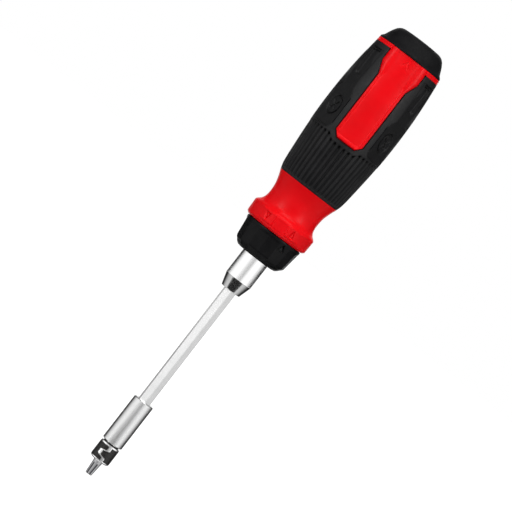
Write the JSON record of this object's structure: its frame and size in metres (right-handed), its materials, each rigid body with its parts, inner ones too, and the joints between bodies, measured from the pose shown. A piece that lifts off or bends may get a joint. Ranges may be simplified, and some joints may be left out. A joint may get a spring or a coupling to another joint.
{
  "type": "ratcheting screwdriver",
  "caption": "Ratcheting screwdriver with a reversing ring, a hexagon shaft with a magnetic bit holder, a three-lobed cushioned handle and a pull-out cap with a rack of double-ended bits.",
  "frame": {"origin": "centre of the bit's tip, the lowest point of the tool on its axis", "axes": "+Z along the tool's axis from the tip to the end cap; -Y out of the handle's front panel, whose pads show the ring's positions"},
  "size_m": [0.0424, 0.0418, 0.2735],
  "materials": {
    "bit_steel": "satin, sandblasted tool steel",
    "polished_steel": "turned and nickel plated",
    "satin_steel": "drawn bar, satin nickel",
    "black_band": "gloss black",
    "spring_steel": "oiled",
    "magnet": "nickel plated",
    "bronze": "sintered",
    "hardened_steel": "ground",
    "seal_rubber": "smooth",
    "black_nylon": "fine moulded grain",
    "die_casting": "as cast",
    "red_nylon": "semi-gloss moulded",
    "grip_rubber": "matt, soft touch",
    "rack_plastic": "moulded"
  },
  "bodies": {
    "handle": {"handle_core": "red_nylon", "rubber_grip": "grip_rubber", "ratchet_housing": "die_casting", "front_bushing": "bronze", "rear_bushing": "bronze", "housing_cover": "die_casting", "cover_clip": "spring_steel", "pawl_pins": "hardened_steel", "pawl_spring_right": "spring_steel", "pawl_spring_left": "spring_steel", "ring_clip": "spring_steel"},
    "selector": {"reversing_ring": "black_nylon", "detent_ball": "hardened_steel", "detent_spring": "spring_steel", "dust_seal": "seal_rubber"},
    "shank": {"hex_shaft": "satin_steel", "shank_collar": "polished_steel", "bit_holder": "polished_steel", "mouth_collar": "polished_steel", "collar_band": "black_band", "bit_clip": "spring_steel", "magnet": "magnet", "ratchet_gear": "hardened_steel", "shaft_clip": "spring_steel", "thrust_washer": "bronze"},
    "bit": {"insert_bit": "bit_steel"},
    "right_pawl": {"pawl_right": "hardened_steel"},
    "left_pawl": {"pawl_left": "hardened_steel"},
    "cap_unit": {"end_cap": "black_nylon", "cap_seal": "seal_rubber", "bit_rack": "rack_plastic", "spare_bit_1": "bit_steel", "spare_bit_2": "bit_steel", "spare_bit_3": "bit_steel", "spare_bit_4": "bit_steel", "spare_bit_5": "bit_steel"}
  },
  "joints": [
    {"name": "shaft_spin", "type": "hinge", "parent": "handle", "child": "shank", "pos_m": [0, 0, 0.1302], "axis": [0, 0, 1], "continuous": true},
    {"name": "ring_turn", "type": "hinge", "parent": "handle", "child": "selector", "pos_m": [0, 0, 0.145], "axis": [0, 0, 1], "range_deg": [-58, 0]},
    {"name": "right_pawl_rock", "type": "hinge", "parent": "handle", "child": "right_pawl", "pos_m": [0.0047, 0.00814, 0.158], "axis": [0, 0, 1], "range_deg": [0, 9], "deforming": ["pawl_spring_right"]},
    {"name": "left_pawl_rock", "type": "hinge", "parent": "handle", "child": "left_pawl", "pos_m": [-0.0047, 0.00814, 0.158], "axis": [0, 0, 1], "range_deg": [0, 9], "deforming": ["pawl_spring_left"]},
    {"name": "cap_slide", "type": "slide", "parent": "handle", "child": "cap_unit", "axis": [0, 0, 1], "range_m": [0, 0.054]},
    {"name": "bit_pull", "type": "slide", "parent": "shank", "child": "bit", "axis": [0, 0, -1], "range_m": [0, 0.026]}
  ],
  "couplings": [
    {"joint": "right_pawl_rock", "follows": "ring_turn", "ratio": -0.1551},
    {"joint": "left_pawl_rock", "follows": "ring_turn", "ratio": -0.1551}
  ]
}
